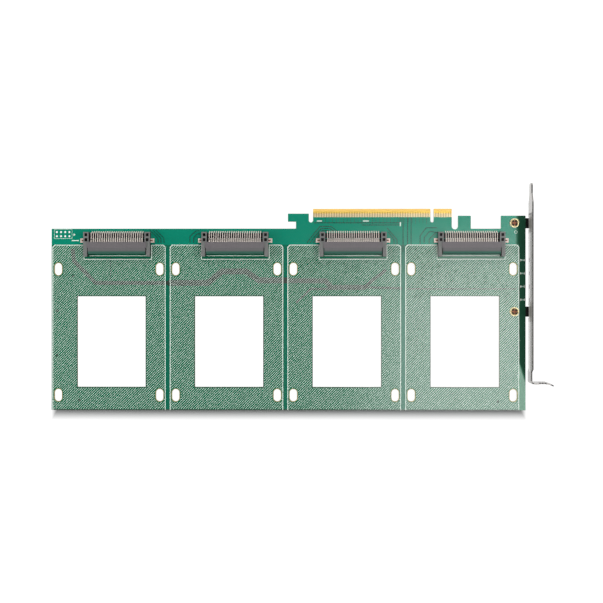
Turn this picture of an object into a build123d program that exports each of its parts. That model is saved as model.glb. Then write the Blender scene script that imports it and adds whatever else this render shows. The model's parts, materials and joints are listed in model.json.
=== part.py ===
from build123d import *
import os

# Adapter card that carries four 2.5 inch drives on one long circuit board, with a x16
# edge connector, a right-angle receptacle for each drive and a steel slot bracket.
# Millimetres. X runs along the card towards the bracket, Y towards the tips of the edge
# connector, Z up out of the component side. The origin is on the line of the finger
# tips, at the middle of the key notch and of the board's thickness.

# Board
board_thickness = 1.57
key_to_bracket_end = 56.6      # key notch to the short edge beside the bracket
top_edge_drop = 12.0           # finger tips back to the board's own long edge
hole_clearance = 0.1           # on the radius, round screws and solder legs

# Edge connector
key_notch_width = 1.9
key_notch_depth = 8.3
finger_pitch = 1.0
finger_width = 0.7
finger_length = 3.8
contact_foil = 0.04
first_finger = 1.5             # key notch to the first finger on either side
long_side_fingers = 71
short_side_fingers = 11
long_tongue_margin = 0.65      # last finger to the end of its tongue
short_tongue_margin = 0.45
tip_bevel_length = 1.3
tip_bevel_drop = 0.45

# Retention hook beyond the long tongue
end_notch_width = 2.55
end_notch_depth = 8.25
hook_tip_drop = 2.9
hook_root_width = 7.8
hook_reach = 4.9
hook_thickness = 4.9

# Board edge between the short tongue and the bracket
side_notch_width = 3.75
side_notch_depth = 12.5
guard_tab_width = 7.8
guard_tab_drop = 4.25
edge_recess_width = 18.15
edge_recess_depth = 12.1

# Drive bays
drive_count = 4
drive_width = 69.85
drive_gap = 1.65
indicator_strip = 3.4          # board left free beside the bracket
drive_front_drop = 22.4        # finger tips back to the end of a drive
drive_slot_inset = 4.065       # drive's side to the middle of its slots
drive_slot_pitch = 76.6
drive_slot_setback = 14.15     # drive end to its first pair of slots
drive_slot_width = 4.4
drive_slot_length = 7.4
slot_to_edge = 9.05            # rear slots to the board's long edge
window_width = 41.4
window_length = 55.0
window_shift = 1.6             # from the drive's centre line
window_setback = 30.7          # drive end to the window

# Printed bay outlines
print_width = 0.4
print_thickness = 0.03
print_inset = 0.5              # drive's side to the line
print_lead = 0.6               # how far the lines start ahead of the drive's end
bay_corner = 1.3
bay_notch_gap = 0.2            # notch to the receptacle's side
bay_notch_depth = 8.6
nose_line_gap = 0.7

# Drive receptacles
receptacle_shift = 5.35         # from the drive's centre line
receptacle_back_drop = 14.2
receptacle_width = 40.4
end_block_width = 2.3
end_block_root = 3.3           # width beside the contact tails
end_block_length = 14.9
end_block_height = 6.0
end_block_chamfer = 0.4
tail_bay_length = 6.1
body_length = 3.5
body_height = 6.9
nose_length = 3.75
nose_drop = 0.8                # how far the top falls towards the nose's lip
nose_lift = 1.3                # space under the nose
nose_gap = 0.5                 # between the nose and each end block
nose_lip = 0.9
socket_wall = 0.7              # socket's end to the nose's side
socket_height = 2.4
socket_middle = 3.9            # above the board
socket_depth = 5.2
pocket_depth = 2.0
pocket_width = 1.7
pocket_lengths = (1.8, 1.9)
pocket_setbacks = (1.7, 4.7)   # back of the block to each pocket's middle
guide_height = 1.6             # bars that stand between the contact tails

# Receptacle contacts
upper_contacts = 24
contact_margin = 2.45          # end block to the middle of the first contact
contact_width = 0.35
contact_thickness = 0.3
contact_proud = 0.1            # how far a contact stands out of the socket's wall
contact_tip_setback = 0.8      # contact tip behind the nose's front
upper_tail_setback = 0.2       # back of the receptacle to the upper row's tails
lower_tail_setback = 3.7

# Solder-down locks at the receptacle's ends
lock_width = 2.5
lock_setback = 5.1             # back of the receptacle to the lock's middle
lock_reach = 2.2
lock_height = 2.6
lock_thickness = 0.4
lock_stub = 0.4                # how far a lock's leg stands out under the board

# Header holes in the corner away from the bracket
header_columns = 4
header_rows = 2
header_pitch = 2.54
header_hole = 1.3
header_side_margin = 3.1
header_first_row = 14.0        # finger tips back to the first row

# Indicator lights beside the bracket
light_count = 4
light_first_drop = 31.2
light_pitch = 8.0
light_setback = 1.8            # board end to the light's middle
light_length = 2.0
light_width = 0.8
light_base_height = 0.2
light_lens_length = 1.3
light_lens_height = 0.4
light_terminal = 0.12

# Slot bracket
bracket_gap = 2.24             # board end to the bracket's inner face
bracket_thickness = 0.86
bracket_width = 18.42
bracket_below_board = 2.5      # lower edge under the board's solder side
bend_radius = 0.4              # inside of each fold
tongue_reach = 15.0            # bracket tip beyond the finger tips
tongue_width = 10.19
tongue_length = 6.1
tongue_corner = 2.2
shoulder_length = 5.5
foot_drop = 105.0              # finger tips back to the foot's seat
foot_length = 12.9             # from the bracket's inner face
foot_lip_length = 2.6
foot_lip_drop = 1.3            # how far the foot's end is bent down
foot_width = 21.54
foot_chamfer = 0.8
neck_width = 15.6
neck_length = 5.3
neck_slope = 1.9
screw_notch_width = 4.42
screw_notch_depth = 6.2
screw_notch_reach = 6.35       # inner face to the notch's middle
light_window_width = 2.4
light_window_height = 1.6

# Mounting ears and their screws
ear_width = 6.2
ear_margin = 3.6               # screw to the ear's end
ear_chamfer = 1.0
ear_relief = 0.5
screw_setback = 6.8            # board end to the screws
screw_drops = (8.75, 62.4)     # finger tips back to each screw
screw_diameter = 2.9
screw_length = 4.0
head_diameter = 5.3
head_height = 1.9
head_clearance = 0.05          # printed line to a screw's head
recess_span = 3.0
recess_width = 0.8
recess_depth = 1.1
thread_clearance = 0.02

# Places worked out from the sizes above
board_top = board_thickness / 2
board_bottom = -board_top
board_right = key_to_bracket_end
bays_length = drive_count * drive_width + (drive_count - 1) * drive_gap
board_left = board_right - indicator_strip - bays_length
board_depth = drive_front_drop + drive_slot_setback + drive_slot_pitch + slot_to_edge
drive_centres = [
    board_left + drive_width / 2 + i * (drive_width + drive_gap) for i in range(drive_count)
]
drive_slot_reach = drive_width / 2 - drive_slot_inset
long_tongue_end = -(first_finger + (long_side_fingers - 1) * finger_pitch + long_tongue_margin)
short_tongue_end = first_finger + (short_side_fingers - 1) * finger_pitch + short_tongue_margin
slot_rows = [
    -(drive_front_drop + drive_slot_setback),
    -(drive_front_drop + drive_slot_setback + drive_slot_pitch),
]
receptacle_centres = [x + receptacle_shift for x in drive_centres]
receptacle_back = -receptacle_back_drop
body_back = receptacle_back - tail_bay_length
nose_back = body_back - body_length
nose_front = nose_back - nose_length
block_inner = receptacle_width / 2 - end_block_width
root_inner = receptacle_width / 2 - end_block_root
nose_half = block_inner - nose_gap
socket_half = nose_half - socket_wall
contact_pitch = 2 * (block_inner - contact_margin) / (upper_contacts - 1)
bay_notch_half = receptacle_width / 2 + bay_notch_gap
socket_floor = board_top + socket_middle - socket_height / 2
socket_roof = board_top + socket_middle + socket_height / 2
lock_side = receptacle_width / 2 + lock_reach
lock_middle = receptacle_back - lock_setback
light_rows = [-(light_first_drop + i * light_pitch) for i in range(light_count)]
bracket_inner = board_right + bracket_gap
bracket_outer = bracket_inner + bracket_thickness
bracket_low = board_bottom - bracket_below_board
bracket_high = bracket_low + bracket_width
bracket_middle = (bracket_low + bracket_high) / 2
foot_low = bracket_high - foot_width
neck_high = foot_low + neck_width
screw_x = board_right - screw_setback
cut_over = 1.0                 # how far a cutting shape runs past what it cuts


def slab(x0, x1, y0, y1, z0, z1):
    return Pos((x0 + x1) / 2, (y0 + y1) / 2, (z0 + z1) / 2) * Box(x1 - x0, y1 - y0, z1 - z0)


def patch(x0, x1, y0, y1):
    return Pos((x0 + x1) / 2, (y0 + y1) / 2) * Rectangle(x1 - x0, y1 - y0)


def round_ended(x, y, width, length):
    return Pos(x, y) * SlotOverall(length, width, rotation=90)


def edge_notch(x0, width, depth):
    # A slot open to the finger tips, with a half-round bottom
    middle = x0 + width / 2
    bottom = width / 2 - depth
    return patch(x0, x0 + width, bottom, cut_over) + Pos(middle, bottom) * Circle(width / 2)


def face_of(points):
    return make_face(Polyline(*points, close=True))


def corners_at(sketch, places):
    # The sketch's corner points nearest to the given places
    return [min(sketch.vertices(), key=lambda v: (v.X - x) ** 2 + (v.Y - y) ** 2) for x, y in places]


def board_outline():
    tab_start = short_tongue_end + side_notch_width
    recess_start = tab_start + guard_tab_width
    notch_start = long_tongue_end - end_notch_width
    hook_inner = notch_start - hook_root_width
    inside = -(side_notch_depth + cut_over)
    outline = patch(board_left, board_right, -board_depth, -top_edge_drop)
    outline += patch(long_tongue_end, short_tongue_end, inside, 0)
    outline += patch(hook_inner, long_tongue_end, inside, -hook_tip_drop)
    outline += patch(
        hook_inner - hook_reach, notch_start, -(hook_tip_drop + hook_thickness), -hook_tip_drop
    )
    outline += patch(short_tongue_end, board_right, inside, -guard_tab_drop)
    outline -= edge_notch(-key_notch_width / 2, key_notch_width, key_notch_depth)
    outline -= edge_notch(notch_start, end_notch_width, end_notch_depth)
    outline -= edge_notch(short_tongue_end, side_notch_width, side_notch_depth)
    outline -= patch(recess_start, recess_start + edge_recess_width, -edge_recess_depth, cut_over)
    return outline


def board_openings():
    holes = Sketch()
    for x in drive_centres:
        middle = -(drive_front_drop + window_setback + window_length / 2)
        holes += Pos(x + window_shift, middle) * Rectangle(window_width, window_length)
        for side in (-1, 1):
            for y in slot_rows:
                slot_x = x + side * drive_slot_reach
                holes += round_ended(slot_x, y, drive_slot_width, drive_slot_length)
    for column in range(header_columns):
        for row in range(header_rows):
            x = board_left + header_side_margin + column * header_pitch
            y = -(header_first_row + row * header_pitch)
            holes += Pos(x, y) * Circle(header_hole / 2)
    for drop in screw_drops:
        holes += Pos(screw_x, -drop) * Circle(screw_diameter / 2 + hole_clearance)
    for x in receptacle_centres:
        for side in (-1, 1):
            leg = x + side * (lock_side - lock_thickness / 2)
            holes += Pos(leg, lock_middle) * Rectangle(
                lock_thickness + 2 * hole_clearance, lock_width + 2 * hole_clearance
            )
    return holes


def tip_bevel(side):
    # The wedge that the bevel takes off one face of the tongues
    slope = tip_bevel_drop / tip_bevel_length
    face = side * board_top
    profile = face_of([
        (-tip_bevel_length, face),
        (cut_over, side * (board_top - slope * (tip_bevel_length + cut_over))),
        (cut_over, face + side * cut_over),
        (-tip_bevel_length, face + side * cut_over),
    ])
    span = short_tongue_end - long_tongue_end
    return Pos(long_tongue_end, 0, 0) * extrude(Plane.YZ * profile, span)


def circuit_board():
    board = Pos(0, 0, board_bottom) * extrude(board_outline() - board_openings(), board_thickness)
    return [board - tip_bevel(1) - tip_bevel(-1)]


def edge_contacts(side):
    # Gold fingers, from the top of the bevel back towards the board
    places = [first_finger + i * finger_pitch for i in range(short_side_fingers)]
    places += [-(first_finger + i * finger_pitch) for i in range(long_side_fingers)]
    low, high = sorted((side * board_top, side * (board_top + contact_foil)))
    front = -tip_bevel_length
    half = finger_width / 2
    return [slab(x - half, x + half, front - finger_length, front, low, high) for x in places]


def bay_outlines():
    pieces = []
    for x in drive_centres:
        left = x - drive_width / 2 + print_inset
        right = x + drive_width / 2 - print_inset
        front = print_lead - drive_front_drop
        bay = patch(left, right, -(board_depth + cut_over), front)
        bay = chamfer(corners_at(bay, [(left, front), (right, front)]), bay_corner)
        notch = x + receptacle_shift
        bay -= patch(
            notch - bay_notch_half,
            notch + bay_notch_half,
            front - bay_notch_depth,
            front + cut_over,
        )
        line = bay - offset(bay, -print_width, kind=Kind.INTERSECTION)
        line &= patch(left, right, -board_depth, front)
        nose_line = nose_front - nose_line_gap
        line += patch(notch - nose_half, notch + nose_half, nose_line - print_width, nose_line)
        for drop in screw_drops:
            line -= Pos(screw_x, -drop) * Circle(head_diameter / 2 + head_clearance)
        pieces += extrude(Pos(0, 0, board_top) * line, print_thickness).solids()
    return pieces


def housing_section():
    # Side view of the body and nose, as (distance back, height) in the card's frame
    top = board_top + body_height
    lip = top - nose_drop
    section = face_of([
        (body_back, board_top),
        (body_back, top),
        (nose_back, top),
        (nose_front, lip),
        (nose_front, board_top + nose_lift),
        (nose_back, board_top + nose_lift),
        (nose_back, board_top),
    ])
    section = fillet(corners_at(section, [(nose_front, lip)]), nose_lip)
    return section


def contact_slits():
    # The level of each contact row, as (lowest, highest)
    upper = socket_roof - contact_proud
    lower = socket_floor + contact_proud
    return (upper, upper + contact_thickness), (lower - contact_thickness, lower)


def tail_guides():
    # The bars in front of each row of contact tails, as (front, back)
    upper = receptacle_back - upper_tail_setback - contact_thickness
    lower = receptacle_back - lower_tail_setback
    return [
        (lower + hole_clearance, upper - hole_clearance),
        (body_back, lower - contact_thickness - hole_clearance),
    ]


def receptacle_housing(x):
    block_front = receptacle_back - end_block_length
    body = extrude(Plane.YZ * housing_section(), nose_half, both=True)
    body += slab(
        -block_inner, block_inner, nose_back, body_back, board_top, board_top + body_height
    )
    slit_half = ((upper_contacts - 1) * contact_pitch + contact_width) / 2 + hole_clearance
    for low, high in contact_slits():
        tip = nose_front + contact_tip_setback
        body -= slab(-slit_half, slit_half, tip, body_back + cut_over, low, high)
    body -= slab(
        -socket_half,
        socket_half,
        nose_front - cut_over,
        nose_front + socket_depth,
        socket_floor,
        socket_roof,
    )
    for front, back in tail_guides():
        body += slab(-root_inner, root_inner, front, back, board_top, board_top + guide_height)
    for side in (-1, 1):
        outer = side * receptacle_width / 2
        top = board_top + end_block_height
        plan = patch(*sorted((outer, side * block_inner)), block_front, receptacle_back)
        plan = chamfer(plan.vertices().group_by(Axis.Y)[0], end_block_chamfer)
        plan += patch(*sorted((outer, side * root_inner)), body_back, receptacle_back)
        block = Pos(0, 0, board_top) * extrude(plan, end_block_height)
        middle = side * (receptacle_width - end_block_root) / 2
        for length, setback in zip(pocket_lengths, pocket_setbacks):
            y = receptacle_back - setback
            block -= slab(
                middle - pocket_width / 2,
                middle + pocket_width / 2,
                y - length / 2,
                y + length / 2,
                top - pocket_depth,
                top + cut_over,
            )
        body += block
    return [Pos(x, 0, 0) * body]


def bent_contact(tail_setback, low, high):
    # One contact from its tail on the board to its tip in the socket
    tail = receptacle_back - tail_setback
    section = face_of([
        (tail, board_top),
        (tail, high),
        (nose_front + contact_tip_setback, high),
        (nose_front + contact_tip_setback, low),
        (tail - contact_thickness, low),
        (tail - contact_thickness, board_top),
    ])
    return extrude(Plane.YZ * section, contact_width / 2, both=True)


def contact_row(x, count, tail_setback, low, high):
    contact = bent_contact(tail_setback, low, high)
    first = x - (count - 1) * contact_pitch / 2
    return [Pos(first + i * contact_pitch, 0, 0) * contact for i in range(count)]


def board_locks(x):
    # Folded metal legs soldered through the board beside the housing
    strap_top = board_top + lock_height
    section = face_of([
        (receptacle_width / 2, strap_top),
        (lock_side, strap_top),
        (lock_side, board_bottom - lock_stub),
        (lock_side - lock_thickness, board_bottom - lock_stub),
        (lock_side - lock_thickness, strap_top - lock_thickness),
        (receptacle_width / 2, strap_top - lock_thickness),
    ])
    strap = Pos(0, lock_middle, 0) * extrude(Plane.XZ * section, lock_width / 2, both=True)
    return [Pos(x, 0, 0) * strap, Pos(x, 0, 0) * mirror(strap, Plane.YZ)]


def light_bodies():
    x = board_right - light_setback
    pieces = []
    for y in light_rows:
        half = light_length / 2 - light_terminal
        base = slab(
            x - half, x + half, y - light_width / 2, y + light_width / 2,
            board_top, board_top + light_base_height,
        )
        lens = slab(
            x - light_lens_length / 2, x + light_lens_length / 2,
            y - light_width / 2, y + light_width / 2,
            board_top + light_base_height, board_top + light_base_height + light_lens_height,
        )
        pieces.append(base + lens)
    return pieces


def light_terminals():
    pieces = []
    for y in light_rows:
        for side in (-1, 1):
            outer = board_right - light_setback + side * light_length / 2
            inner = outer - side * light_terminal
            x0, x1 = sorted((outer, inner))
            pieces.append(slab(
                x0, x1, y - light_width / 2, y + light_width / 2,
                board_top, board_top + light_base_height,
            ))
    return pieces


def bracket_face():
    # Flat outline of the bracket's long face, as (distance, height)
    shoulder = tongue_reach - tongue_length
    full = shoulder - shoulder_length
    neck = -(foot_drop + bracket_thickness) + neck_length + neck_slope
    half = tongue_width / 2
    tip = tongue_reach
    face = face_of([
        (neck + neck_slope, bracket_low),
        (full, bracket_low),
        (shoulder, bracket_middle - half),
        (tip, bracket_middle - half),
        (tip, bracket_middle + half),
        (shoulder, bracket_middle + half),
        (full, bracket_high),
        (neck + neck_slope, bracket_high),
        (neck, neck_high),
        (-(foot_drop + bracket_thickness), neck_high),
        (-(foot_drop + bracket_thickness), foot_low),
        (neck, foot_low),
    ])
    places = [(tip, bracket_middle - half), (tip, bracket_middle + half)]
    face = fillet(corners_at(face, places), tongue_corner)
    for drop in screw_drops:
        reach = ear_width / 2 + ear_relief
        face -= patch(-drop - reach, -drop + reach, bracket_low - cut_over, board_bottom + bend_radius)
    for y in light_rows:
        level = board_top + light_base_height + light_lens_height / 2
        face -= Pos(y, level) * Rectangle(light_window_width, light_window_height)
    return face


def foot_face():
    # Flat outline of the foot, as (distance out, height)
    end = bracket_inner + foot_length
    root = bracket_outer + bend_radius
    face = face_of([
        (bracket_inner, foot_low),
        (end, foot_low),
        (end, bracket_high),
        (root, bracket_high),
        (root, neck_high),
        (bracket_inner, neck_high),
    ])
    face = chamfer(corners_at(face, [(end, foot_low), (end, bracket_high)]), foot_chamfer)
    middle = bracket_inner + screw_notch_reach
    bottom = bracket_high - screw_notch_depth + screw_notch_width / 2
    face -= patch(
        middle - screw_notch_width / 2, middle + screw_notch_width / 2, bottom, bracket_high + cut_over
    )
    face -= Pos(middle, bottom) * Circle(screw_notch_width / 2)
    return face


def bracket_foot():
    # The foot's outline cut from a strip whose outer end is bent down
    end = bracket_inner + foot_length
    bend = end - foot_lip_length
    seat = -foot_drop
    strip = face_of([
        (bracket_inner, seat),
        (bend, seat),
        (end, seat - foot_lip_drop),
        (end, seat - foot_lip_drop - bracket_thickness),
        (bend, seat - bracket_thickness),
        (bracket_inner, seat - bracket_thickness),
    ])
    foot = Pos(0, 0, foot_low) * extrude(strip, foot_width)
    outline = Pos(0, seat + cut_over, 0) * extrude(Plane.XZ * foot_face(), 2 * cut_over + 2 * foot_lip_drop)
    return foot & outline


def mounting_ear(drop):
    # A strip folded out of the bracket's face, under the board
    ear_end = screw_x - ear_margin
    section = face_of([
        (ear_end, board_bottom),
        (bracket_inner, board_bottom),
        (bracket_inner, board_bottom + bend_radius + cut_over),
        (bracket_outer, board_bottom + bend_radius + cut_over),
        (bracket_outer, board_bottom - bracket_thickness),
        (ear_end, board_bottom - bracket_thickness),
    ])
    section = fillet(corners_at(section, [(bracket_inner, board_bottom)]), bend_radius)
    outer = [(bracket_outer, board_bottom - bracket_thickness)]
    section = fillet(corners_at(section, outer), bend_radius + bracket_thickness)
    ear = Pos(0, -drop, 0) * extrude(Plane.XZ * section, ear_width / 2, both=True)
    end_edges = ear.edges().filter_by(Axis.Z).group_by(Axis.X)[0]
    ear = chamfer(end_edges, ear_chamfer)
    hole = screw_diameter / 2 + thread_clearance
    return ear - Pos(screw_x, -drop, board_bottom) * Cylinder(hole, 4 * bracket_thickness)


def slot_bracket():
    plate = Pos(bracket_inner, 0, 0) * extrude(Plane.YZ * bracket_face(), bracket_thickness)
    bracket = plate + bracket_foot()
    upright = bracket.edges().filter_by(Axis.Z)
    seat = -foot_drop
    inner = [e for e in upright if abs(e.center().X - bracket_outer) + abs(e.center().Y - seat) < 0.01]
    bracket = fillet(inner, bend_radius)
    upright = bracket.edges().filter_by(Axis.Z)
    back = seat - bracket_thickness
    outer = [e for e in upright if abs(e.center().X - bracket_inner) + abs(e.center().Y - back) < 0.01]
    bracket = fillet(outer, bend_radius + bracket_thickness)
    for drop in screw_drops:
        bracket += mounting_ear(drop)
    return [bracket]


def bracket_screws():
    shank = Pos(0, 0, board_top - screw_length / 2) * Cylinder(screw_diameter / 2, screw_length)
    head = Pos(0, 0, board_top + head_height / 2) * Cylinder(head_diameter / 2, head_height)
    for turn in (0, 90):
        middle = board_top + head_height - recess_depth / 2 + cut_over / 2
        blade = Box(recess_span, recess_width, recess_depth + cut_over)
        head -= Pos(0, 0, middle) * Rot(0, 0, turn) * blade
    return [Pos(screw_x, -drop, 0) * (head + shank) for drop in screw_drops]


def receptacle_nodes():
    nodes = {}
    upper, lower = contact_slits()
    for number, x in enumerate(receptacle_centres, start=1):
        nodes[f"receptacle_{number}_housing"] = receptacle_housing(x)
        nodes[f"receptacle_{number}_upper_contacts"] = contact_row(
            x, upper_contacts, upper_tail_setback, *upper
        )
        nodes[f"receptacle_{number}_lower_contacts"] = contact_row(
            x, upper_contacts - 1, lower_tail_setback, *lower
        )
        nodes[f"receptacle_{number}_board_locks"] = board_locks(x)
    return nodes


def all_nodes():
    nodes = {
        "circuit_board": circuit_board(),
        "edge_contacts_component_side": edge_contacts(1),
        "edge_contacts_solder_side": edge_contacts(-1),
        "drive_bay_print": bay_outlines(),
        "slot_bracket": slot_bracket(),
        "bracket_screws": bracket_screws(),
        "activity_lights": light_bodies(),
        "activity_light_terminals": light_terminals(),
    }
    nodes.update(receptacle_nodes())
    return nodes


os.makedirs("parts", exist_ok=True)
for name, solids in all_nodes().items():
    export_step(Compound(solids), f"parts/{name}.step")
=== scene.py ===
import json
import math

import bpy
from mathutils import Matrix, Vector


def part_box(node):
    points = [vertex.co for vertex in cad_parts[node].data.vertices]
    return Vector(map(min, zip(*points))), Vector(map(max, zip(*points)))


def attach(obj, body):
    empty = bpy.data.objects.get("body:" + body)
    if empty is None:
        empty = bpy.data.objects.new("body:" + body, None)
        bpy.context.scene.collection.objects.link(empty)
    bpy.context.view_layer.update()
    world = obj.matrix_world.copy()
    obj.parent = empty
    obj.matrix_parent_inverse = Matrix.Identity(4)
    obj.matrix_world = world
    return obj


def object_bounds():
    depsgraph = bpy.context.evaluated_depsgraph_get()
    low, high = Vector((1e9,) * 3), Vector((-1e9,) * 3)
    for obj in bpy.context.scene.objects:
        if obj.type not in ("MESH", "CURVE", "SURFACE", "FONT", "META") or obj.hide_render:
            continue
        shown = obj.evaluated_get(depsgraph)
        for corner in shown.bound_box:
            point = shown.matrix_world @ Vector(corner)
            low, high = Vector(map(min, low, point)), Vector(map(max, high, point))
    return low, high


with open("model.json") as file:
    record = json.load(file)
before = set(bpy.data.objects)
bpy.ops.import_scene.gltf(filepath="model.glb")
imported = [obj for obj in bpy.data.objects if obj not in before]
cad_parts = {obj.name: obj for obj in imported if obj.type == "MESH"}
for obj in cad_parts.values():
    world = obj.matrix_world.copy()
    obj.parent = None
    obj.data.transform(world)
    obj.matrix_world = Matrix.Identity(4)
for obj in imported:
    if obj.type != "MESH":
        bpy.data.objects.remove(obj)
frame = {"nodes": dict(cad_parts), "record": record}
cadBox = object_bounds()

mm = 0.001


class Wire:
    # One output socket of a node; sums on it add Math nodes

    def __init__(self, sheet, socket):
        self.sheet = sheet
        self.socket = socket

    def math(self, operation, *values):
        return self.sheet.add("ShaderNodeMath", {"operation": operation}, values)

    def __add__(self, other):
        return self.math("ADD", self, other)

    def __radd__(self, other):
        return self.math("ADD", other, self)

    def __sub__(self, other):
        return self.math("SUBTRACT", self, other)

    def __rsub__(self, other):
        return self.math("SUBTRACT", other, self)

    def __mul__(self, other):
        return self.math("MULTIPLY", self, other)

    def __rmul__(self, other):
        return self.math("MULTIPLY", other, self)

    def __gt__(self, other):
        return self.math("GREATER_THAN", self, other)

    def __lt__(self, other):
        return self.math("LESS_THAN", self, other)

    def __mod__(self, other):
        return self.math("FLOORED_MODULO", self, other)

    def __abs__(self):
        return self.math("ABSOLUTE", self)

    def highest(self, other):
        return self.math("MAXIMUM", self, other)

    def root(self):
        return self.math("SQRT", self)

    def rise(self, low, high):
        # From 0 at the first value to 1 at the second, with soft ends
        return self.sheet.add(
            "ShaderNodeMapRange", {"interpolation_type": "SMOOTHSTEP"},
            {"Value": self, "From Min": low, "From Max": high}, "Result"
        )


class Sheet:
    # A node tree and the one way to add nodes to it

    def __init__(self, tree):
        self.tree = tree

    def add(self, kind, settings, inputs, output=0):
        node = self.tree.nodes.new(kind)
        for name, value in settings.items():
            setattr(node, name, value)
        pairs = inputs.items() if isinstance(inputs, dict) else enumerate(inputs)
        for name, value in pairs:
            if isinstance(value, Wire):
                self.tree.links.new(value.socket, node.inputs[name])
            else:
                node.inputs[name].default_value = value
        return Wire(self, node.outputs[output])

    def outputs(self, wire, *names):
        # Several outputs of the node behind a wire
        return [Wire(self, wire.socket.node.outputs[name]) for name in names]

    def split(self, vector):
        return self.outputs(self.add("ShaderNodeSeparateXYZ", {}, [vector]), 0, 1, 2)

    def rays(self):
        # Whether a ray is the camera's, and whether it is a glossy or see-through one
        path = self.add("ShaderNodeLightPath", {}, {})
        camera, glossy, through = self.outputs(path, "Is Camera Ray", "Is Glossy Ray", "Is Transmission Ray")
        return camera, glossy.highest(through)


class Finish(Sheet):
    # A material and the nodes behind its shader

    def __init__(self, name, constants):
        self.material = bpy.data.materials.new(name)
        self.material.use_nodes = True
        super().__init__(self.material.node_tree)
        self.shader = self.tree.nodes["Principled BSDF"]
        for socket, value in constants.items():
            self.shader.inputs[socket].default_value = value
        place = self.add("ShaderNodeTexCoord", {}, {}, "Object")
        self.mm = self.add(
            "ShaderNodeVectorMath", {"operation": "SCALE"}, {"Vector": place, "Scale": 1 / mm}, "Vector"
        )

    def axes(self):
        return self.split(self.mm)

    def normalAxes(self):
        return self.split(self.add("ShaderNodeNewGeometry", {}, {}, "Normal"))

    def noise(self, scale, detail, stretch=(1, 1, 1)):
        # Scale is in spots per millimetre
        place = self.add(
            "ShaderNodeVectorMath", {"operation": "MULTIPLY"}, [self.mm, stretch], "Vector"
        )
        return self.add(
            "ShaderNodeTexNoise", {"noise_dimensions": "3D"},
            {"Vector": place, "Scale": scale, "Detail": detail}, "Fac"
        )

    def mix(self, factor, first, second):
        # A Mix node's sockets 6 and 7 are its two colours
        return self.add(
            "ShaderNodeMix", {"data_type": "RGBA"}, {0: factor, 6: first, 7: second}, 2
        )

    def feed(self, socket, wire):
        self.tree.links.new(wire.socket, self.shader.inputs[socket])

    def cover(self, colour, roughness, height, depth):
        # Depth of the bumps is in millimetres
        normal = self.add("ShaderNodeBump", {}, {"Height": height, "Distance": depth * mm}, "Normal")
        self.feed("Base Color", colour)
        self.feed("Roughness", roughness)
        self.feed("Normal", normal)


def tone(red, green, blue):
    # A screen colour from 0 to 255 as scene values
    def level(value):
        value = value / 255
        return value / 12.92 if value <= 0.04045 else ((value + 0.055) / 1.055) ** 2.4
    return (level(red), level(green), level(blue), 1.0)


def boxOf(name):
    return [[c / mm for c in corner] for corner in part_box(name)]


# Places read from the frame, in millimetres: the edge connector is at the front, and Z points up
boardLow, boardHigh = boxOf("circuit_board")
boardLeft, boardRear, boardBottom = boardLow
boardRight, fingerTips, boardTop = boardHigh
bracketLow, bracketHigh = boxOf("slot_bracket")
fingerLow, fingerHigh = boxOf("edge_contacts_component_side")
mounts = {m["name"]: m for m in frame["record"]["mounts"]}
driveCount = sum(1 for name in mounts if name.startswith("drive_connector_"))
slotSizes = mounts["drive_1_left_slots"]["dims"]
slotWidth = 2 * slotSizes["hole_r_mm"]
slotLength = slotSizes["slot_length_mm"]
slotPitch = slotSizes["spacing_y_mm"]


def mountPlace(name):
    return [c / mm for c in mounts[name]["pos_m"]]


def findSlots():
    places = []
    for name in mounts:
        if name.endswith("_slots"):
            x, y, _ = mountPlace(name)
            places += [(x, y - slotPitch / 2), (x, y + slotPitch / 2)]
    return places


def driveCentre(number):
    left, right = [mountPlace(f"drive_{number}_{side}_slots")[0] for side in ("left", "right")]
    return (left + right) / 2


def barMiddles(name, axis):
    # The middles of a row of bars, from their edges along an axis
    edges = sorted({round(v.co[axis] / mm, 2) for v in frame["nodes"][name].data.vertices})
    return [(a + b) / 2 for a, b in zip(edges[::2], edges[1::2])]


slotPlaces = findSlots()
screwLow, screwHigh = boxOf("bracket_screws")
headRadius = (screwHigh[0] - screwLow[0]) / 2
screwX = screwLow[0] + headRadius
screwFront, screwRear = screwHigh[1] - headRadius, screwLow[1] + headRadius
screwPlaces = [(screwX, screwFront), (screwX, screwRear)]
driveCentres = [driveCentre(n) for n in range(1, driveCount + 1)]
housings = [boxOf(f"receptacle_{n}_housing") for n in range(1, driveCount + 1)]
housingCentres = [(low[0] + high[0]) / 2 for low, high in housings]
housingTop = housings[0][1][2]
bayPitch = driveCentres[1] - driveCentres[0]
bayRight, bayFront, _ = boxOf("drive_bay_print")[1]
bayHalf = bayRight - driveCentres[-1]
print("frame read:", len(frame["nodes"]), "nodes,", driveCount, "drives")


def fromCentre(x, centre):
    # How far along X from this place in the first bay, or from the same place in another bay
    return abs((x - centre + bayPitch / 2) % bayPitch - bayPitch / 2)


def fromScrews(y):
    # How far along Y from the nearer screw
    return abs(abs(y - (screwFront + screwRear) / 2) - (screwFront - screwRear) / 2)


mitreLimit = 0.3              # keeps the corner of a sharp bend short


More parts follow.
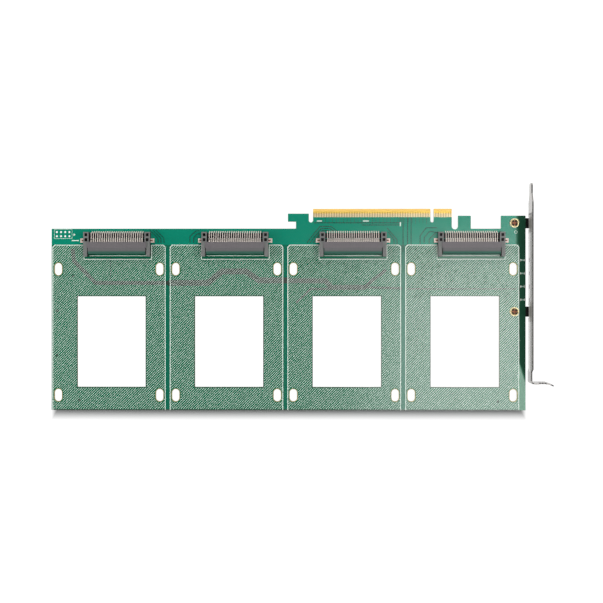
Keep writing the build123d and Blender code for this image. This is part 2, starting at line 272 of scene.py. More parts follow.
class Mesh:
    # Gathers plates and bars, all in millimetres, into one piece

    def __init__(self):
        self.points = []
        self.faces = []

    def prism(self, outline, low, high, hole=None):
        # A plate from an anticlockwise outline, with a hole of as many points
        count = len(outline)
        start = len(self.points)
        rings = [outline] if hole is None else [outline, hole]
        for ring in rings:
            self.points += [(x, y, low) for x, y in ring]
            self.points += [(x, y, high) for x, y in ring]
        following = [(i, (i + 1) % count) for i in range(count)]
        for i, j in following:
            self.faces.append((start + i, start + j, start + count + j, start + count + i))
        if hole is None:
            self.faces.append(tuple(start + i for i in reversed(range(count))))
            self.faces.append(tuple(start + count + i for i in range(count)))
            return
        inner = start + 2 * count
        for i, j in following:
            self.faces.append((inner + j, inner + i, inner + count + i, inner + count + j))
            self.faces.append((start + j, start + i, inner + i, inner + j))
            self.faces.append((start + count + i, start + count + j, inner + count + j, inner + count + i))

    def bar(self, x0, x1, y0, y1, low, high):
        self.prism([(x0, y0), (x1, y0), (x1, y1), (x0, y1)], low, high)

    def stroke(self, path, width, low, high):
        # A flat line of constant width along a path, mitred at its bends
        half = width / 2
        left, right = [], []
        for i, point in enumerate(path):
            here = Vector(point)
            before = (here - Vector(path[i - 1])).normalized() if i else None
            after = (Vector(path[i + 1]) - here).normalized() if i < len(path) - 1 else None
            before = before or after
            after = after or before
            along = (before + after).normalized()
            reach = half / max(mitreLimit, along.dot(before))
            side = Vector((-along.y, along.x)) * reach
            left.append(here + side)
            right.append(here - side)
        start = len(self.points)
        count = len(path)
        for row, level in ((right, low), (left, low), (left, high), (right, high)):
            self.points += [(p.x, p.y, level) for p in row]
        for i in range(count - 1):
            for k in range(4):
                a = start + k * count + i
                b = start + (k + 1) % 4 * count + i
                self.faces.append((a, b, b + 1, a + 1))
        first = [start + k * count for k in range(4)]
        self.faces.append(tuple(reversed(first)))
        self.faces.append(tuple(f + count - 1 for f in first))

    def piece(self, name, finish, slot):
        mesh = bpy.data.meshes.new(name)
        mesh.from_pydata([[c * mm for c in p] for p in self.points], [], self.faces)
        mesh.validate()
        mesh.update()
        mesh.materials.append(finish.material)
        piece = bpy.data.objects.new(name, mesh)
        bpy.context.scene.collection.objects.link(piece)
        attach(piece, "root")


def circlePoints(x, y, radius, count=24):
    return [
        (x + radius * math.cos(math.tau * i / count), y + radius * math.sin(math.tau * i / count))
        for i in range(count)
    ]


def capsulePoints(x, y, radius, length, count=12):
    # A round-ended outline along Y
    reach = length / 2 - radius
    points = []
    for end in (1, -1):
        for i in range(count + 1):
            angle = math.pi * i / count + (0 if end > 0 else math.pi)
            points.append((x + radius * math.cos(angle), y + end * reach + radius * math.sin(angle)))
    return points


windowSettings = {
    "shift": 1.6,             # to the right of the middle of a drive's slots
    "width": 41.4,
    "front": -53.1,
    "rear": -108.1,
    "margin": 0.5,            # the painted darker band round it, and along the board's rear edge
}

maskLook = {
    "copperGreen": tone(0, 136, 110),
    "deepGreen": tone(0, 128, 102),
    "gapGreen": tone(10, 104, 80),        # between the bays
    "bayGreen": tone(0, 106, 74),
    "bayDark": tone(0, 97, 68),
    # painted: a darker band round the windows for their cut walls, and shadow along the board's rear edge
    "edgeBandGreen": tone(62, 84, 70),
    "cloud": (0.05, 3.0),                 # spots per millimetre and detail
    "grain": (1.6, 4.0),
    "stripGreen": tone(12, 114, 78),
    # painted shadow of the bracket on the strip beside it
    "stripShadow": tone(0, 60, 38),
    "stripOverlap": 0.6,                  # how far the strip fades in over the bays' right edge
    "stripExtra": 2.4,                    # and how much farther in front of the bays
    "stripEnd": 0.3,
    "shadowEnd": -104.5,                  # where the strip's painted shadow of the bracket ends, at the board's right edge
    "shadowSlant": 3.0,
    "shadowSoftness": 3.0,
    "tipYellow": tone(240, 198, 86),
    "paleYellow": tone(226, 178, 74),
    "fingerGap": tone(78, 56, 28),
    "fibre": (3.0, 2.0, (1, 1, 6)),       # as the grain, with a stretch along each axis
    "bevelLength": 2.1,
    "bevelSoftness": 0.5,
    "bareStart": 0.3,                     # in front of the fingers' rear ends
    "bareLeft": 0.5,                      # beside the first and the last finger
    "bareRight": 0.4,
    "laminate": tone(214, 204, 168),
    "edgeGreen": tone(96, 122, 98),
    "upright": 0.3,                       # a cut edge's normal leans less than this along Z
    "roughness": 0.16,
    "grainRoughness": 0.04,
    "cutRoughness": 0.3,
    "mattRoughness": 0.8,
    "bumpDepth": 0.01,
}


def makeMaskFinish():
    look = maskLook
    finish = Finish("solderMask", {})
    x, y, _ = finish.axes()
    _, _, nz = finish.normalAxes()
    inBays = (y < bayFront) * (fromCentre(x, driveCentres[0]) < bayHalf) * (x < bayRight)
    cloud = finish.noise(*look["cloud"])
    grain = finish.noise(*look["grain"])
    copper = finish.mix(cloud, look["copperGreen"], look["deepGreen"])
    bay = finish.mix(cloud, look["bayGreen"], look["bayDark"])
    face = finish.mix(y < bayFront, copper, look["gapGreen"])
    face = finish.mix(inBays, face, bay)
    # A narrow darker band is painted round each window to stand for its cut walls seen at a slant, and one
    # along the rear of the board as painted shadow
    w = windowSettings
    aside = fromCentre(x, driveCentres[0] + w["shift"])
    inWindow = (aside < w["width"] / 2 + w["margin"]) * (y < w["front"] + w["margin"])
    inWindow = inWindow * (y > w["rear"] - w["margin"])
    face = finish.mix(inWindow, face, look["edgeBandGreen"])
    face = finish.mix(y < boardRear + w["margin"], face, look["edgeBandGreen"])
    # The strip beside the bracket is bare; up to where the bracket's shadow ends it is matt and painted
    # darker as that shadow
    stripStart = -look["stripOverlap"] - (y > bayFront) * look["stripExtra"]
    strip = (x - bayRight).rise(stripStart, look["stripEnd"])
    towardShadow = y + look["shadowSlant"] * (x - boardRight) - look["shadowEnd"]
    shadedMatt = strip * towardShadow.rise(-look["shadowSoftness"], look["shadowSoftness"])
    face = finish.mix(strip, face, look["stripGreen"])
    face = finish.mix(shadedMatt, face, look["stripShadow"])
    # The solder side is one even green
    face = finish.mix(nz < -look["upright"], face, copper)
    # Uncovered laminate between the fingers
    fibre = finish.noise(*look["fibre"])
    bare = (y > fingerLow[1] + look["bareStart"]) * (x > fingerLow[0] - look["bareLeft"])
    bare = bare * (x < fingerHigh[0] + look["bareRight"])
    bevel = (y - fingerTips + look["bevelLength"]).rise(-look["bevelSoftness"], look["bevelSoftness"])
    yellow = finish.mix(fibre, look["paleYellow"], look["tipYellow"])
    face = finish.mix(bare, face, finish.mix(bevel, look["fingerGap"], yellow))
    # Cut edges show the laminate
    upright = abs(nz) < look["upright"]
    cut = finish.mix(fibre, look["edgeGreen"], look["laminate"])
    roughness = look["roughness"] + grain * look["grainRoughness"]
    roughness = roughness + upright * look["cutRoughness"] + shadedMatt * look["mattRoughness"]
    finish.cover(finish.mix(upright, face, cut), roughness, grain, look["bumpDepth"])
    return finish


plainLooks = {
    "screenPrint": {
        "first": tone(240, 250, 242), "second": tone(222, 238, 226),
        "roughness": 0.5, "spots": 5.0, "bumpDepth": 0.008,
        "constants": {"Specular IOR Level": 0.2},
    },
    "platedRim": {
        "first": tone(178, 164, 112), "second": tone(146, 136, 92),
        "roughness": 0.4, "spots": 2.0, "bumpDepth": 0.006,
        "constants": {"Metallic": 0.3},
    },
    "tinnedMetal": {
        "first": tone(240, 230, 222), "second": tone(208, 198, 190),
        "roughness": 0.5, "spots": 3.0, "bumpDepth": 0.01,
        "constants": {"Specular IOR Level": 0.3},
    },
    "maskOverTrace": {
        "first": tone(44, 60, 50), "second": tone(32, 50, 42),
        "roughness": 0.22, "spots": 2.0, "bumpDepth": 0.004,
        "constants": {},
    },
    "maskOverLine": {
        "first": tone(0, 68, 54), "second": tone(0, 58, 46),
        "roughness": 0.2, "spots": 2.0, "bumpDepth": 0.004,
        "constants": {},
    },
    "lightLens": {
        "first": tone(60, 110, 92), "second": tone(84, 134, 112),
        "roughness": 0.25, "spots": 3.0, "bumpDepth": 0.005,
        "constants": {"Coat Weight": 0.3, "Specular IOR Level": 0.4},
    },
    "lightEnds": {
        "first": tone(232, 252, 244), "second": tone(206, 236, 224),
        "roughness": 0.4, "spots": 4.0, "bumpDepth": 0.005,
        "constants": {"Metallic": 0.2},
    },
}
plainDetail = 3.0
plainWear = 0.16


def makePlainFinish(name):
    # Two colours mixed in fine spots, with a slightly uneven surface
    look = plainLooks[name]
    finish = Finish(name, look["constants"])
    wear = finish.noise(look["spots"], plainDetail)
    colour = finish.mix(wear, look["first"], look["second"])
    finish.cover(colour, look["roughness"] + wear * plainWear, wear, look["bumpDepth"])
    return finish


goldLook = {
    "pale": tone(228, 210, 164),
    "peach": tone(214, 192, 150),
    "tip": tone(232, 196, 94),
    "tipLength": 1.6,
    "wear": (2.2, 3.0, (1, 0.25, 1)),
    "roughness": 0.34,
    "wearRoughness": 0.14,
    "bumpDepth": 0.004,
    "constants": {"Metallic": 0.5},
}


def makeGoldFinish():
    look = goldLook
    finish = Finish("goldPlating", look["constants"])
    _, y, _ = finish.axes()
    wear = finish.noise(*look["wear"])
    gold = finish.mix(wear, look["pale"], look["peach"])
    gold = finish.mix(y > fingerHigh[1] - look["tipLength"], gold, look["tip"])
    finish.cover(gold, look["roughness"] + wear * look["wearRoughness"], wear, look["bumpDepth"])
    return finish


housingLook = {
    "bodyHalf": 16.5,         # half the body's width, within the end blocks
    "bodyDepth": 2.0,         # its upper corners are within this of the top
    "top": tone(110, 105, 108),
    "streak": tone(98, 95, 97),
    # painted shade on the sides, darker than the top
    "side": tone(48, 44, 46),
    # painted shade in the pockets below the top
    "pocket": tone(9, 8, 9),
    "pocketDrop": 1.2,        # how far below the top the pockets start
    "armTop": tone(112, 114, 112),
    "armDrop": 0.85,
    # painted reflection of the board's green
    "lip": tone(44, 92, 78),
    "lipLength": 1.8,
    "lipHalf": 17.4,
    "lipHeight": 4.5,         # above the board
    "lipTurn": (0.1, 0.75),   # how far a face turns to the rear where the green starts and is full
    "lipShown": 0.02,
    "upward": 0.5,            # a top face's normal turns up more than this
    "streaks": (2.4, 3.0, (1, 0.06, 0.2)),
    "grain": (6.0, 3.0),
    "grainHeight": 0.5,
    "roughness": 0.48,
    "grainRoughness": 0.15,
    "bumpDepth": 0.015,
    "constants": {"Specular IOR Level": 0.3},
}


def bodyEnds(number):
    # The rear and the front of a housing's body, between its two end blocks
    look = housingLook
    mesh = frame["nodes"][f"receptacle_{number}_housing"].data
    middle = housingCentres[number - 1]
    rows = [
        v.co.y / mm for v in mesh.vertices
        if abs(v.co.x / mm - middle) < look["bodyHalf"] and v.co.z / mm > housingTop - look["bodyDepth"]
    ]
    return min(rows), max(rows)


def makeHousingFinish():
    look = housingLook
    finish = Finish("mouldedHousing", look["constants"])
    x, y, z = finish.axes()
    _, ny, nz = finish.normalAxes()
    streaks = finish.noise(*look["streaks"])
    grain = finish.noise(*look["grain"])
    up = nz > look["upward"]
    top = finish.mix(streaks, look["top"], look["streak"])
    top = finish.mix(z < housingTop - look["armDrop"], top, look["armTop"])
    # Painted reflection: the rear of the top, and faces turned to the rear, take on the green of the board
    # behind it as its reflection
    rear, _ = bodyEnds(1)
    near = 1 - (y - rear).rise(0.0, look["lipLength"])
    near = near * (fromCentre(x, housingCentres[0]) < look["lipHalf"])
    lip = (0 - ny).rise(*look["lipTurn"]) * (z > boardTop + look["lipHeight"])
    top = finish.mix(lip.highest(near), top, look["lip"])
    # Painted shade: faces that don't turn up take the darker side colour
    colour = finish.mix(up.highest(lip > look["lipShown"]), look["side"], top)
    # Painted shade: upward faces below the top, in the pockets, are near-black
    deep = up * (z < housingTop - look["pocketDrop"])
    colour = finish.mix(deep, colour, look["pocket"])
    height = streaks + grain * look["grainHeight"]
    finish.cover(colour, look["roughness"] + grain * look["grainRoughness"], height, look["bumpDepth"])
    return finish


bracketLook = {
    "steel": tone(252, 248, 245),
    "cloudSteel": tone(206, 201, 198),
    "shade": tone(134, 130, 127),
    # painted shade near the plate's lower edge
    "underShade": tone(120, 116, 113),
    "endSteel": tone(158, 155, 151),
    "footSteel": tone(140, 137, 135),
    "footEdge": tone(100, 98, 96),
    # painted reflection of the board's edge
    "bend": tone(84, 82, 80),
    "cutEdge": tone(46, 44, 43),
    # painted shadow on the ears under the board
    "earShadow": tone(14, 12, 12),
    "brush": (1.2, 4.0, (1, 0.03, 4)),
    "cloud": (0.06, 2.0),
    "cloudAmount": 0.3,
    "shadeHeights": (-1.0, 5.0),          # over which the plate goes from bright to shaded
    "underHeight": 5.6,                   # above the plate's lower edge
    "underSoftness": 1.0,
    "neck": -3.1,                         # the tongue's end of the plate
    "bendWidth": 0.8,
    "tail": -98.8,                        # the foot's end
    "footLength": 3.0,
    "tipLength": 1.6,
    "cutTurn": 0.9,                       # a cut edge's normal leans more than this along Z
    "earTop": 0.35,                       # above the board's underside
    "earBottom": 0.95,                    # below it
    "earReach": 20.0,                     # from the ears' left end
    "earRear": -70.0,
    "plateGap": 2.1,                      # between the board's right edge and the plate
    "besideHalf": 6.0,                    # half the part of the plate beside each ear
    "metallic": 0.8,
    "besideMetallic": 0.7,
    "roughness": 0.2,
    "brushRoughness": 0.1,
    "earRoughness": 0.2,
    "bumpDepth": 0.006,
}


def makeBracketFinish():
    look = bracketLook
    finish = Finish("platedSteel", {})
    x, y, z = finish.axes()
    _, _, nz = finish.normalAxes()
    brush = finish.noise(*look["brush"])
    cloud = finish.noise(*look["cloud"])
    steel = finish.mix(brush, look["steel"], look["cloudSteel"])
    steel = finish.mix(cloud * look["cloudAmount"], steel, look["cloudSteel"])
    steel = finish.mix(z.rise(*look["shadeHeights"]), steel, look["shade"])
    # Painted shade: darker near the plate's lower edge, below the board
    under = (bracketLow[2] + look["underHeight"] - z).rise(0.0, look["underSoftness"])
    steel = finish.mix(under, steel, look["underShade"])
    # Darker at the two ends, with a painted reflection of the board's edge as a dark line under the tongue
    steel = finish.mix(y > look["neck"], steel, look["endSteel"])
    steel = finish.mix(y < look["tail"], steel, look["footSteel"])
    halfNeckLine = look["bendWidth"] / 2
    steel = finish.mix(abs(y - look["neck"] + halfNeckLine) < halfNeckLine, steel, look["bend"])
    cut = abs(nz) > look["cutTurn"]
    foot = y < bracketLow[1] + look["footLength"]
    tip = foot * (x > bracketHigh[0] - look["tipLength"])
    edge = finish.mix(foot * (1 - tip), look["cutEdge"], look["footEdge"])
    steel = finish.mix(cut.highest(tip), steel, edge)
    # Painted shadow: the two ears under the board are painted near-black, as the shade they lie in
    ears = (z < boardBottom + look["earTop"]) * (z > boardBottom - look["earBottom"])
    ears = ears * (x < bracketLow[0] + look["earReach"]) * (y > look["earRear"])
    ears = ears * (x < boardRight + look["plateGap"])
    # Less of the ears' painted black shows in the plate beside them
    beside = (fromScrews(y) < look["besideHalf"]) * (x > boardRight + look["plateGap"])
    finish.feed("Metallic", look["metallic"] - beside * look["besideMetallic"])
    roughness = look["roughness"] + brush * look["brushRoughness"]
    roughness = roughness + ears.highest(beside) * look["earRoughness"]
    finish.cover(finish.mix(ears, steel, look["earShadow"]), roughness, brush, look["bumpDepth"])
    return finish


screwLook = {
    # painted highlight on the rim of the head
    "ring": tone(204, 196, 152),
    "face": tone(122, 102, 66),
    "recess": tone(110, 64, 46),
    # painted shade in the cross recess
    "recessShadeDots": tone(24, 14, 10),
    "wear": (2.5, 3.0),
    "worn": (0.42, 0.5),      # the noise level at which the painted highlight ring starts to show and is full
    "ringRadius": 2.2,
    "dotGap": 0.45,           # half the cross between the four dots of painted shade
    "dotReach": 1.95,
    "recessDepth": 0.5,
    "rimRadius": 2.3,
    "rimDrop": 0.1,
    "roughness": 0.3,
    "wearRoughness": 0.2,
    "bumpDepth": 0.01,
    "constants": {"Metallic": 0.7},
}


def makeScrewFinish():
    look = screwLook
    finish = Finish("yellowZinc", look["constants"])
    x, y, z = finish.axes()
    wear = finish.noise(*look["wear"])
    dx = abs(x - screwX)
    dy = fromScrews(y)
    out = (dx * dx + dy * dy).root()
    # Painted highlight: a bright ring on the head's rim, broken up by noise
    worn = (out > look["ringRadius"]) * wear.rise(*look["worn"])
    zinc = finish.mix(worn, look["face"], look["ring"])
    # Painted shade: four dark dots round the cross recess
    recessShadeDots = (dx > look["dotGap"]) * (dy > look["dotGap"]) * (out < look["dotReach"])
    zinc = finish.mix(recessShadeDots, zinc, look["recessShadeDots"])
    zinc = finish.mix(z < screwHigh[2] - look["recessDepth"], zinc, look["recess"])
    # The painted highlight also covers the edge of the head below its top
    rim = (out > look["rimRadius"]) * (z < screwHigh[2] - look["rimDrop"])
    zinc = finish.mix(rim, zinc, look["ring"])
    finish.cover(zinc, look["roughness"] + wear * look["wearRoughness"], wear, look["bumpDepth"])
    return finish


lockLook = {
    "rim": tone(240, 226, 216),
    "worn": tone(206, 186, 172),
    "middle": tone(112, 76, 62),
    "rimWidth": 0.75,
    "wear": (2.0, 3.0),
    "roughness": 0.35,
    "wearRoughness": 0.2,
    "bumpDepth": 0.01,
    "constants": {"Metallic": 0.3},
}


def makeLockFinish():
    look = lockLook
    finish = Finish("lockMetal", look["constants"])
    x, y, _ = finish.axes()
    low, high = boxOf("receptacle_1_board_locks")
    across = fromCentre(x, housingCentres[0]) < (high[0] - low[0]) / 2 - look["rimWidth"]
    along = abs(y - (low[1] + high[1]) / 2) < (high[1] - low[1]) / 2 - look["rimWidth"]
    wear = finish.noise(*look["wear"])
    rim = finish.mix(wear, look["rim"], look["worn"])
    colour = finish.mix(across * along, rim, look["middle"])
    finish.cover(colour, look["roughness"] + wear * look["wearRoughness"], wear, look["bumpDepth"])
    return finish


plain = {name: makePlainFinish(name) for name in plainLooks}
goldFinish = makeGoldFinish()
lockFinish = makeLockFinish()
housingFinish = makeHousingFinish()

nodeFinishes = {
    "circuit_board": makeMaskFinish(),
    "edge_contacts_component_side": goldFinish,
    "edge_contacts_solder_side": goldFinish,
    "drive_bay_print": plain["screenPrint"],
    "slot_bracket": makeBracketFinish(),
    "bracket_screws": makeScrewFinish(),
    "activity_lights": plain["lightLens"],
    "activity_light_terminals": plain["lightEnds"],
}
for number in range(1, driveCount + 1):
    nodeFinishes[f"receptacle_{number}_housing"] = housingFinish
    nodeFinishes[f"receptacle_{number}_upper_contacts"] = plain["tinnedMetal"]
    nodeFinishes[f"receptacle_{number}_lower_contacts"] = plain["tinnedMetal"]
    nodeFinishes[f"receptacle_{number}_board_locks"] = lockFinish
for name, finish in nodeFinishes.items():
    for socket in frame["nodes"][name].material_slots:
        socket.material = finish.material
print("finishes set on", len(nodeFinishes), "nodes")


hatchSettings = {
    "spacing": 1.508,         # along X, between lines at 45 degrees
    "lineWidth": 0.19,
    "thickness": 0.02,
    "step": 0.1,
    "slotClearance": 0.75,
    "inset": 0.4,
    "rearInset": 0.5,
    "notchClearance": 0.6,
    "notchDepth": 9.0,
    "screwClearance": 2.9,
    "shortest": 0.4,
}


def hatchFree(x, y, number):
    # Whether a hatch line may pass this point of a bay
    s = hatchSettings
    aside = abs(x - driveCentres[number])
    if aside > bayHalf - s["inset"] or not boardRear + s["rearInset"] < y < bayFront - s["inset"]:
        return False
    w = windowSettings
    if abs(x - driveCentres[number] - w["shift"]) < w["width"] / 2 + w["margin"]:
        if w["rear"] - w["margin"] < y < w["front"] + w["margin"]:
            return False
    low, high = housings[number]
    notchHalf = (high[0] - low[0]) / 2 + s["notchClearance"]
    if abs(x - housingCentres[number]) < notchHalf and y > bayFront - s["notchDepth"]:
        return False
    for sx, sy in slotPlaces:
        beyond = max(0.0, abs(y - sy) - (slotLength - slotWidth) / 2)
        if math.hypot(x - sx, beyond) < slotWidth / 2 + s["slotClearance"]:
            return False
    return all(math.hypot(x - sx, y - sy) > s["screwClearance"] for sx, sy in screwPlaces)


def makeHatch():
    s = hatchSettings
    strips = Mesh()
    for number, centre in enumerate(driveCentres):
        left, right = centre - bayHalf, centre + bayHalf
        offset = left - bayFront + s["spacing"] / 2
        while offset < right - boardRear:
            # The line x - y = offset, cut where it isn't free
            run = None
            y = max(boardRear, left - offset)
            end = min(bayFront, right - offset)
            while y <= end + s["step"]:
                free = y <= end and hatchFree(y + offset, y, number)
                if free and run is None:
                    run = y
                if not free and run is not None:
                    last = y - s["step"]
                    if last - run > s["shortest"]:
                        strips.stroke(
                            [(run + offset, run), (last + offset, last)], s["lineWidth"],
                            boardTop, boardTop + s["thickness"],
                        )
                    run = None
                y += s["step"]
            offset += s["spacing"]
    strips.piece("hatchPrint", plain["screenPrint"], "board_print")


makeHatch()
print("hatched print done")


rimSettings = {"width": 0.42, "holeGap": 0.02, "thickness": 0.035}


def makeRims():
    s = rimSettings
    rims = Mesh()
    for x, y in slotPlaces:
        outline, hole = [
            capsulePoints(x, y, slotWidth / 2 + grow, slotLength + 2 * grow)
            for grow in (s["width"], s["holeGap"])
        ]
        rims.prism(outline, boardTop, boardTop + s["thickness"], hole)
        rims.prism(outline, boardBottom - s["thickness"], boardBottom, hole)
    rims.piece("slotRims", plain["platedRim"], "gold_contact")


makeRims()
print("slot rims done")


padSettings = {
    "thickness": 0.022,
    "screwPadReach": 0.2,
    "screwPadOverlap": 0.3,
    "screwPadPoints": 40,
    "tailPadWidth": 0.6,
    "tailPadFront": 0.9,
    "lockPadReach": 0.7,
    "lockHoleReach": 0.3,
    "lightPadLength": 1.3,
    "lightPadReach": 0.25,
    "lightPadOverlap": 0.1,
}


def makePads():
    s = padSettings
    pads = Mesh()
    high = boardTop + s["thickness"]
    for x, y in screwPlaces:
        pads.prism(
            circlePoints(x, y, headRadius + s["screwPadReach"], s["screwPadPoints"]), boardTop, high,
            circlePoints(x, y, headRadius - s["screwPadOverlap"], s["screwPadPoints"]),
        )
    for number in range(1, driveCount + 1):
        contacts = f"receptacle_{number}_upper_contacts"
        front = boxOf(contacts)[1][1]
        half = s["tailPadWidth"] / 2
        for x in barMiddles(contacts, 0):
            pads.bar(x - half, x + half, front, front + s["tailPadFront"], boardTop, high)
        # Solder under the board, round each lock
        lockLow, lockHigh = boxOf(f"receptacle_{number}_board_locks")
        middle, length = (lockLow[1] + lockHigh[1]) / 2, lockHigh[1] - lockLow[1]
        for x in (lockLow[0], lockHigh[0]):
            outline, hole = [
                capsulePoints(x, middle, reach, length + reach)
                for reach in (s["lockPadReach"], s["lockHoleReach"])
            ]
            pads.prism(outline, boardBottom - s["thickness"], boardBottom, hole)
    # Solder at both ends of each light
    (left, _, _), (right, _, _) = boxOf("activity_light_terminals")
    half, reach, overlap = s["lightPadLength"] / 2, s["lightPadReach"], s["lightPadOverlap"]
    for y in barMiddles("activity_light_terminals", 1):
        pads.bar(left - reach, left + overlap, y - half, y + half, boardTop, high)
        pads.bar(right - overlap, right + reach, y - half, y + half, boardTop, high)
    pads.piece("solderPads", plain["tinnedMetal"], "contact_metal")


makePads()
print("pads done")


# The photograph's middle pixel, the place on the board that it shows, and pixels per millimetre
viewSettings = {"pixel": 301.5, "x": -79.2, "y": -56.2, "scale": 1.6465}


def boardPoint(u, v):
    s = viewSettings
    return (s["x"] + (u - s["pixel"]) / s["scale"], s["y"] + (s["pixel"] - v) / s["scale"])


# Widths in millimetres, and paths in pixels of the photograph
traceSettings = {
    "thickness": 0.012,
    "lineWidth": 0.5,
    "bands": [
        (2.4, [(72.5, 249), (73.5, 261), (95.5, 283), (168, 283)]),
        (3.6, [(168, 283), (208, 283), (222, 271.5), (246, 271.5), (259, 280.5), (290, 280.5)]),
        (3.0, [(290, 281), (326, 281), (331, 287.5), (366, 287.5)]),
        (2.0, [(364, 287.5), (386, 270)]),
        (1.4, [(296, 303), (311, 289), (330, 289)]),
        (1.4, [(366, 287.5), (402, 288.5)]),
        (0.7, [(407, 289), (516, 289)]),
    ],
    "lines": [
        [(110.3, 257), (110.3, 280)],
        [(149.5, 229.8), (158, 238.5), (158, 243)],
        [(152.5, 229.8), (161, 238.5), (161, 243)],
        [(155.5, 229.8), (164, 238.5), (164, 243)],
        [(190, 243), (190, 236.5), (196, 231), (200, 231)],
        [(193.5, 243), (193.5, 238), (197.5, 234), (200, 234)],
        [(307, 243), (310, 239), (320, 226.5), (331, 226.5), (337.5, 231.5)],
        [(310, 243), (313, 239), (321.5, 228.6), (330, 228.6), (334, 231.5)],
        [(313, 243), (316, 239.5), (322.5, 230.7), (329, 230.7)],
        [(387, 228), (397, 240), (397, 245)],
        [(388, 232), (394, 240), (394, 245)],
        [(429, 244), (429, 239.5), (435.5, 232.5), (439, 232.5)],
        [(314, 223), (401, 223)],
        [(362, 225.2), (400, 225.2), (400, 216.5)],
        [(403, 217), (403, 252)],
        [(407.5, 217), (407.5, 245)],
        [(411, 217), (411, 245)],
        [(420, 245), (420, 236), (426, 228), (437, 228)],
        [(424, 243), (424, 238), (429, 232), (434, 232)],
    ],
    "fanStart": 322,          # column of the first of the short traces behind the fingers
    "fanStep": 3.6,           # pixels from one to the next
    "fanCount": 30,
    "fanWidth": 0.24,
    "fanGap": 0.3,
    "fanReach": 3.2,
    "fanStagger": 0.5,
    "fanRows": 3,
}


def makeTraces():
    s = traceSettings
    high = boardTop + s["thickness"]
    bands = Mesh()
    for width, path in s["bands"]:
        bands.stroke([boardPoint(*p) for p in path], width, boardTop, high)
    bands.piece("traceBands", plain["maskOverTrace"], "circuit_board")
    lines = Mesh()
    for path in s["lines"]:
        lines.stroke([boardPoint(*p) for p in path], s["lineWidth"], boardTop, high)
    # Short traces that fan in from the fingers
    half = s["fanWidth"] / 2
    for i in range(s["fanCount"]):
        x, _ = boardPoint(s["fanStart"] + s["fanStep"] * i, 0)
        rear = fingerLow[1] - s["fanReach"] - s["fanStagger"] * (i % s["fanRows"])
        lines.bar(x - half, x + half, rear, fingerLow[1] - s["fanGap"], boardTop, high)
    lines.piece("traceLines", plain["maskOverLine"], "circuit_board")


makeTraces()
print("traces done")


# Places in pixels of the photograph, and sizes in millimetres
markSettings = {
    "thickness": 0.02,
    "frameLine": 0.15,
    "headerFrame": (54.0, 71.8, 229.3, 238.6),
    "dashLine": 0.5,
    "dashes": [(71.5, 78.5, 240.6), (317.0, 322.0, 221.2), (363.0, 369.0, 221.2)],
    "arrow": (75.2, 234.7),
    "arrowLength": 1.1,
    "arrowHalf": 0.8,
    "bar": (400.3, 224.4),
    "barWidth": 0.7,
    "barLength": 2.4,
    "ring": (515.3, 232.3),
    "ringRadius": 0.95,
    "ringHole": 0.78,
    "viaMarks": [(57.0, 310.8), (56.3, 355.5), (72.6, 275.8), (79.0, 400.4), (497.4, 401.5)],
    "viaRadius": 0.75,
    "viaHole": 0.3,
    "viaThickness": 0.035,
}


def makeMarks():
    s = markSettings
    marks = Mesh()
    low, high = boardTop, boardTop + s["thickness"]
    u0, u1, v0, v1 = s["headerFrame"]
    corners = [boardPoint(u0, v0), boardPoint(u1, v0), boardPoint(u1, v1), boardPoint(u0, v1)]
    for a, b in zip(corners, corners[1:] + corners[:1]):
        marks.stroke([a, b], s["frameLine"], low, high)
    for u, v, row in s["dashes"]:
        marks.stroke([boardPoint(u, row), boardPoint(v, row)], s["dashLine"], low, high)
    x, y = boardPoint(*s["arrow"])
    back, half = x - s["arrowLength"], s["arrowHalf"]
    marks.prism([(x, y), (back, y + half), (back, y - half)], low, high)
    x, y = boardPoint(*s["bar"])
    across, along = s["barWidth"] / 2, s["barLength"] / 2
    marks.bar(x - across, x + across, y - along, y + along, low, high)
    x, y = boardPoint(*s["ring"])
    marks.prism(circlePoints(x, y, s["ringRadius"]), low, high, circlePoints(x, y, s["ringHole"]))
    marks.piece("smallMarks", plain["screenPrint"], "board_print")
    rings = Mesh()
    for u, v in s["viaMarks"]:
        x, y = boardPoint(u, v)
        outline, hole = circlePoints(x, y, s["viaRadius"]), circlePoints(x, y, s["viaHole"])
        rings.prism(outline, low, boardTop + s["viaThickness"], hole)
    rings.piece("viaRings", plain["maskOverTrace"], "circuit_board")


makeMarks()
print("marks done")


shoulderSettings = {"width": 0.62, "length": 0.75, "rise": 0.2}


def makeShoulders():
    # The bright bends of the contacts where they enter the housing
    s = shoulderSettings
    bends = Mesh()
    half = s["width"] / 2
    for number in range(1, driveCount + 1):
        contacts = f"receptacle_{number}_upper_contacts"
        level = boxOf(contacts)[1][2]
        _, front = bodyEnds(number)
        for x in barMiddles(contacts, 0):
            bends.bar(x - half, x + half, front, front + s["length"], level, level + s["rise"])
    bends.piece("contactShoulders", plain["tinnedMetal"], "contact_metal")


makeShoulders()
print("contact shoulders done")


floorSettings = {
    "drop": 0.3,                # below the model, in millimetres
    "reach": 3.0,               # in metres
    "paper": 0.15,
    "glow": 0.97,               # as the camera and mirrors see it
    "litGlow": 0.45,            # as matt surfaces see it
    "fadeIn": (-5.0, -1.0),     # millimetres behind the rear edge over which the painted shadow starts
    "fadeOut": (-1.0, 8.5),     # and over which it fades away
    "fadeAside": (-3.2, 2.4),   # and the same beyond the board's left and right ends
    "constants": {"Roughness": 1.0, "Specular IOR Level": 0.0},
}


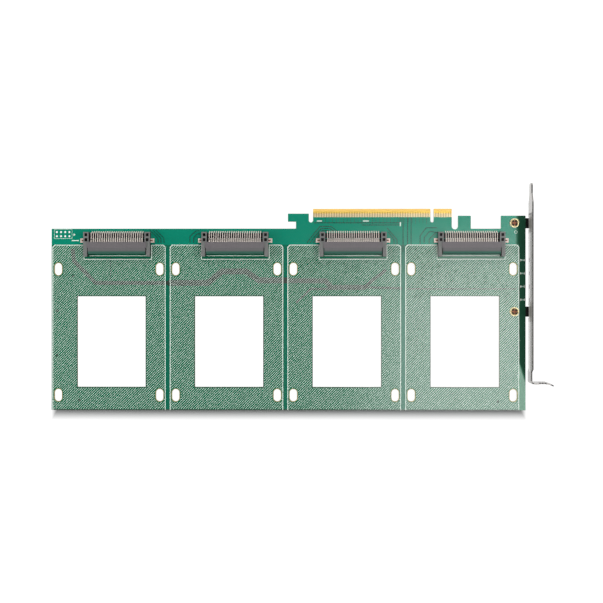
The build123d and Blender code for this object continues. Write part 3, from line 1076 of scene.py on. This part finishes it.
def makeFloor():
    s = floorSettings
    level = cadBox[0][2] - s["drop"] * mm
    reach = s["reach"]
    mesh = bpy.data.meshes.new("floor")
    mesh.from_pydata(
        [(-reach, -reach, level), (reach, -reach, level), (reach, reach, level), (-reach, reach, level)],
        [], [(0, 1, 2, 3)],
    )
    floor = bpy.data.objects.new("floor", mesh)
    bpy.context.scene.collection.objects.link(floor)
    finish = Finish("floorPaper", s["constants"])
    finish.shader.inputs["Base Color"].default_value = (s["paper"], s["paper"], s["paper"], 1.0)
    x, y, _ = finish.axes()
    back = boardRear - y
    aside = (x - boardRight).rise(*s["fadeAside"]).highest((boardLeft - x).rise(*s["fadeAside"]))
    faded = back.rise(*s["fadeOut"]).highest(aside)
    # Painted shadow: the floor's glow is dimmed in a band behind the board's rear edge
    shown = s["glow"] * (1 - back.rise(*s["fadeIn"]) * (1 - faded))
    camera, mirrored = finish.rays()
    glow = s["litGlow"] + camera.highest(mirrored) * (shown - s["litGlow"])
    light = finish.add("ShaderNodeEmission", {}, {"Color": (1, 1, 1, 1), "Strength": glow})
    both = finish.add("ShaderNodeAddShader", {}, [Wire(finish, finish.shader.outputs[0]), light])
    output = finish.tree.nodes["Material Output"]
    finish.tree.links.new(both.socket, output.inputs["Surface"])
    mesh.materials.append(finish.material)


worldSettings = {
    "strength": 0.25,
    "ceiling": 0.06,          # strength of the room above, as metal and gloss show it
    "ceilingFrom": (0.3, 0.75),
}


def makeWorld():
    s = worldSettings
    world = bpy.data.worlds.new("studio")
    bpy.context.scene.world = world
    world.use_nodes = True
    sheet = Sheet(world.node_tree)
    background = world.node_tree.nodes["Background"]
    background.inputs["Color"].default_value = (1, 1, 1, 1)
    # The camera sees white, and so do metal and gloss, except overhead
    _, _, up = sheet.split(sheet.add("ShaderNodeTexCoord", {}, {}, "Generated"))
    room = 1 + up.rise(*s["ceilingFrom"]) * (s["ceiling"] - 1)
    camera, mirrored = sheet.rays()
    strength = s["strength"] + mirrored * (room - s["strength"])
    strength = strength.highest(camera)
    world.node_tree.links.new(strength.socket, background.inputs["Strength"])


# Each lamp's place, the point that it faces and its two sizes in metres, and its power in watts
lampSettings = {
    "frontLamp": ((-0.12, 0.66, 0.90), (-0.08, -0.06, 0.0), (0.90, 0.60), 4.4),
    "leftLamp": ((-0.62, -0.06, 0.42), (-0.10, -0.06, 0.0), (0.30, 0.20), 1.0),
    "sideLamp": ((0.21, -0.03, 0.42), (0.10, -0.06, 0.0), (0.30, 0.12), 0.8),
    "lowLamp": ((-0.60, -0.06, 0.035), (0.06, -0.06, 0.005), (0.30, 0.03), 2.0),
    "glareLamp": ((0.155, -0.155, 1.06), (0.155, -0.155, 0.0), (0.30, 0.33), 2.0),
}


def makeLamps():
    for name, (place, target, size, power) in lampSettings.items():
        light = bpy.data.lights.new(name, "AREA")
        light.shape = "RECTANGLE"
        light.size, light.size_y = size
        light.energy = power
        lamp = bpy.data.objects.new(name, light)
        bpy.context.scene.collection.objects.link(lamp)
        lamp.location = place
        lamp.rotation_euler = (Vector(target) - Vector(place)).to_track_quat("-Z", "Y").to_euler()


cameraSettings = {
    "place": (-0.0643, -0.0549, 1.0013),  # in metres
    "turn": (-0.078, 0.850, 0.0),         # in degrees
    "focalPixels": 1648.5,
    "photoWidth": 603,
    "sensor": 36.0,
    "farthest": 20,
}


def makeCamera():
    s = cameraSettings
    data = bpy.data.cameras.new("camera")
    data.sensor_width = s["sensor"]
    data.lens = s["focalPixels"] / s["photoWidth"] * s["sensor"]
    data.clip_end = s["farthest"]
    camera = bpy.data.objects.new("camera", data)
    bpy.context.scene.collection.objects.link(camera)
    camera.location = s["place"]
    camera.rotation_euler = [math.radians(a) for a in s["turn"]]
    bpy.context.scene.camera = camera


makeFloor()
makeWorld()
makeLamps()
makeCamera()
bpy.context.scene.view_settings.view_transform = "Standard"
print("stage done")
